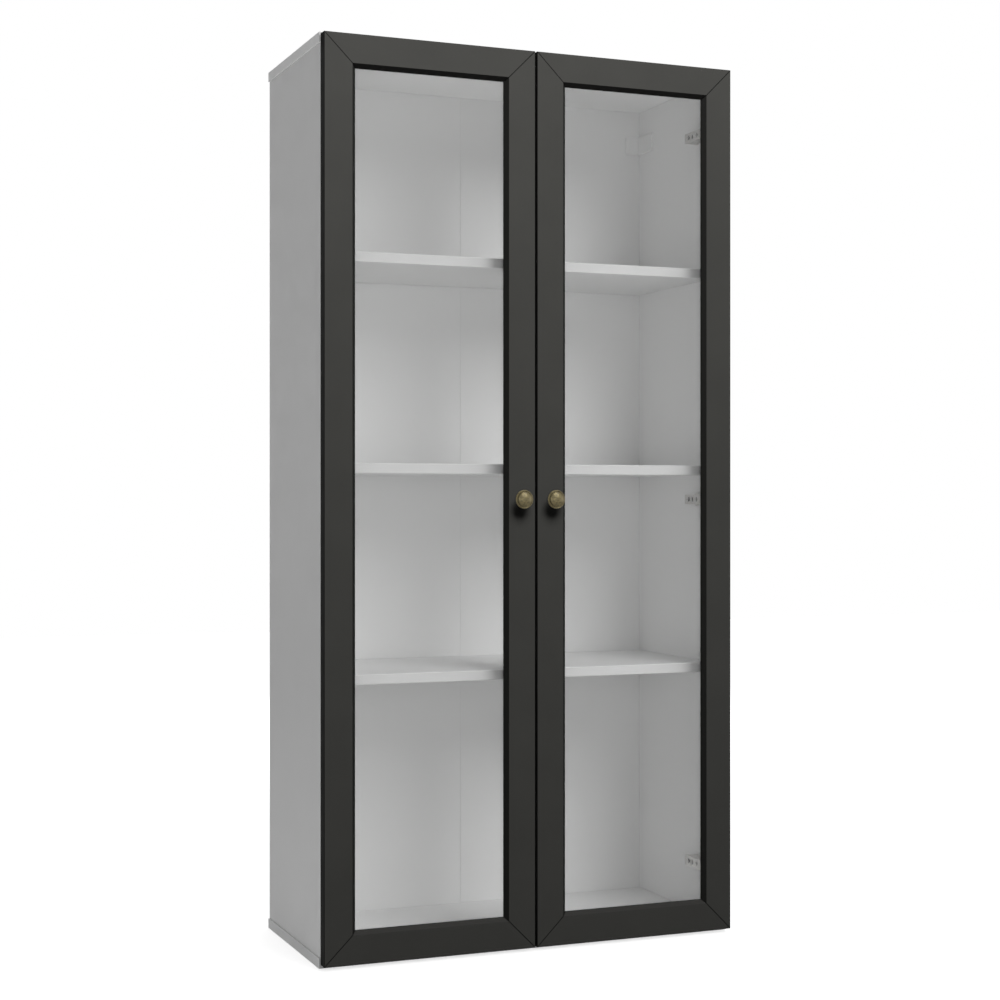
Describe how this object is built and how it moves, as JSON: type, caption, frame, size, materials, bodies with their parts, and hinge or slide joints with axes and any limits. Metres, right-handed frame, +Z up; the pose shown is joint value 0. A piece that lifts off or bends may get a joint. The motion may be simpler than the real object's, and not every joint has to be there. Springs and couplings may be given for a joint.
{
  "type": "china cabinet",
  "caption": "Tall shallow display cabinet: white board carcass and shelves, black mitred frame doors with clear glass, round knobs, concealed four-bar cup hinges.",
  "frame": {"origin": "centre of the bottom panel's underside", "axes": "+Z up, the doors face -Y, +X to the right seen from the front"},
  "size_m": [0.805, 0.39, 1.637],
  "materials": {
    "white_board": "white melamine-faced board, satin",
    "white_back": "white painted hardboard, matt",
    "black_frame": "black lacquered wood, satin",
    "clear_glass": "clear float glass",
    "aged_brass": "antique brass, dark in the grooves",
    "nickel_steel": "nickel-plated steel",
    "white_plastic": "white moulded plastic"
  },
  "bodies": {
    "carcass": {"back_joint_strip": "white_plastic", "back_panel_left": "white_back", "back_panel_right": "white_back", "bottom_panel": "white_board", "hanging_bracket_left": "white_plastic", "hanging_bracket_right": "white_plastic", "left_lower_hinge_arm": "nickel_steel", "left_middle_hinge_arm": "nickel_steel", "left_upper_hinge_arm": "nickel_steel", "right_lower_hinge_arm": "nickel_steel", "right_middle_hinge_arm": "nickel_steel", "right_upper_hinge_arm": "nickel_steel", "shelf_lower": "white_board", "shelf_middle": "white_board", "shelf_pin_lower_left_front": "nickel_steel", "shelf_pin_lower_left_rear": "nickel_steel", "shelf_pin_lower_right_front": "nickel_steel", "shelf_pin_lower_right_rear": "nickel_steel", "shelf_pin_upper_left_front": "nickel_steel", "shelf_pin_upper_left_rear": "nickel_steel", "shelf_pin_upper_right_front": "nickel_steel", "shelf_pin_upper_right_rear": "nickel_steel", "shelf_upper": "white_board", "side_left": "white_board", "side_right": "white_board", "top_panel": "white_board"},
    "left_inner_links": {"left_lower_inner_link": "nickel_steel", "left_middle_inner_link": "nickel_steel", "left_upper_inner_link": "nickel_steel"},
    "left_door": {"left_door_bottom_rail": "black_frame", "left_door_glass": "clear_glass", "left_door_hinge_stile": "black_frame", "left_door_knob": "aged_brass", "left_door_knob_screw": "nickel_steel", "left_door_meeting_stile": "black_frame", "left_door_top_rail": "black_frame", "left_lower_hinge_cup": "nickel_steel", "left_middle_hinge_cup": "nickel_steel", "left_upper_hinge_cup": "nickel_steel"},
    "left_outer_links": {"left_lower_outer_link": "nickel_steel", "left_middle_outer_link": "nickel_steel", "left_upper_outer_link": "nickel_steel"},
    "right_inner_links": {"right_lower_inner_link": "nickel_steel", "right_middle_inner_link": "nickel_steel", "right_upper_inner_link": "nickel_steel"},
    "right_door": {"right_door_bottom_rail": "black_frame", "right_door_glass": "clear_glass", "right_door_hinge_stile": "black_frame", "right_door_knob": "aged_brass", "right_door_knob_screw": "nickel_steel", "right_door_meeting_stile": "black_frame", "right_door_top_rail": "black_frame", "right_lower_hinge_cup": "nickel_steel", "right_middle_hinge_cup": "nickel_steel", "right_upper_hinge_cup": "nickel_steel"},
    "right_outer_links": {"right_lower_outer_link": "nickel_steel", "right_middle_outer_link": "nickel_steel", "right_upper_outer_link": "nickel_steel"}
  },
  "joints": [
    {"name": "left_inner_link_hinge", "type": "hinge", "parent": "carcass", "child": "left_inner_links", "pos_m": [-0.367, -0.1622, 0.82025], "axis": [0, 0, -1], "range_deg": [-27.5, 0]},
    {"name": "left_door_hinge", "type": "hinge", "parent": "left_inner_links", "child": "left_door", "pos_m": [-0.3908, -0.179, 0.82025], "axis": [0, 0, -1], "range_deg": [0, 122.5]},
    {"name": "left_outer_link_hinge", "type": "hinge", "parent": "carcass", "child": "left_outer_links", "pos_m": [-0.3665, -0.1681, 0.82025], "axis": [0, 0, -1], "range_deg": [-50, 0]},
    {"name": "right_inner_link_hinge", "type": "hinge", "parent": "carcass", "child": "right_inner_links", "pos_m": [0.367, -0.1622, 0.82025], "axis": [0, 0, 1], "range_deg": [-27.5, 0]},
    {"name": "right_door_hinge", "type": "hinge", "parent": "right_inner_links", "child": "right_door", "pos_m": [0.3908, -0.179, 0.82025], "axis": [0, 0, 1], "range_deg": [0, 122.5]},
    {"name": "right_outer_link_hinge", "type": "hinge", "parent": "carcass", "child": "right_outer_links", "pos_m": [0.3665, -0.1681, 0.82025], "axis": [0, 0, 1], "range_deg": [-50, 0]}
  ],
  "couplings": [
    {"joint": "left_inner_link_hinge", "follows": "left_door_hinge", "ratio": -0.22448},
    {"joint": "left_outer_link_hinge", "follows": "left_door_hinge", "ratio": -0.40816},
    {"joint": "right_inner_link_hinge", "follows": "right_door_hinge", "ratio": -0.22448},
    {"joint": "right_outer_link_hinge", "follows": "right_door_hinge", "ratio": -0.40816}
  ]
}
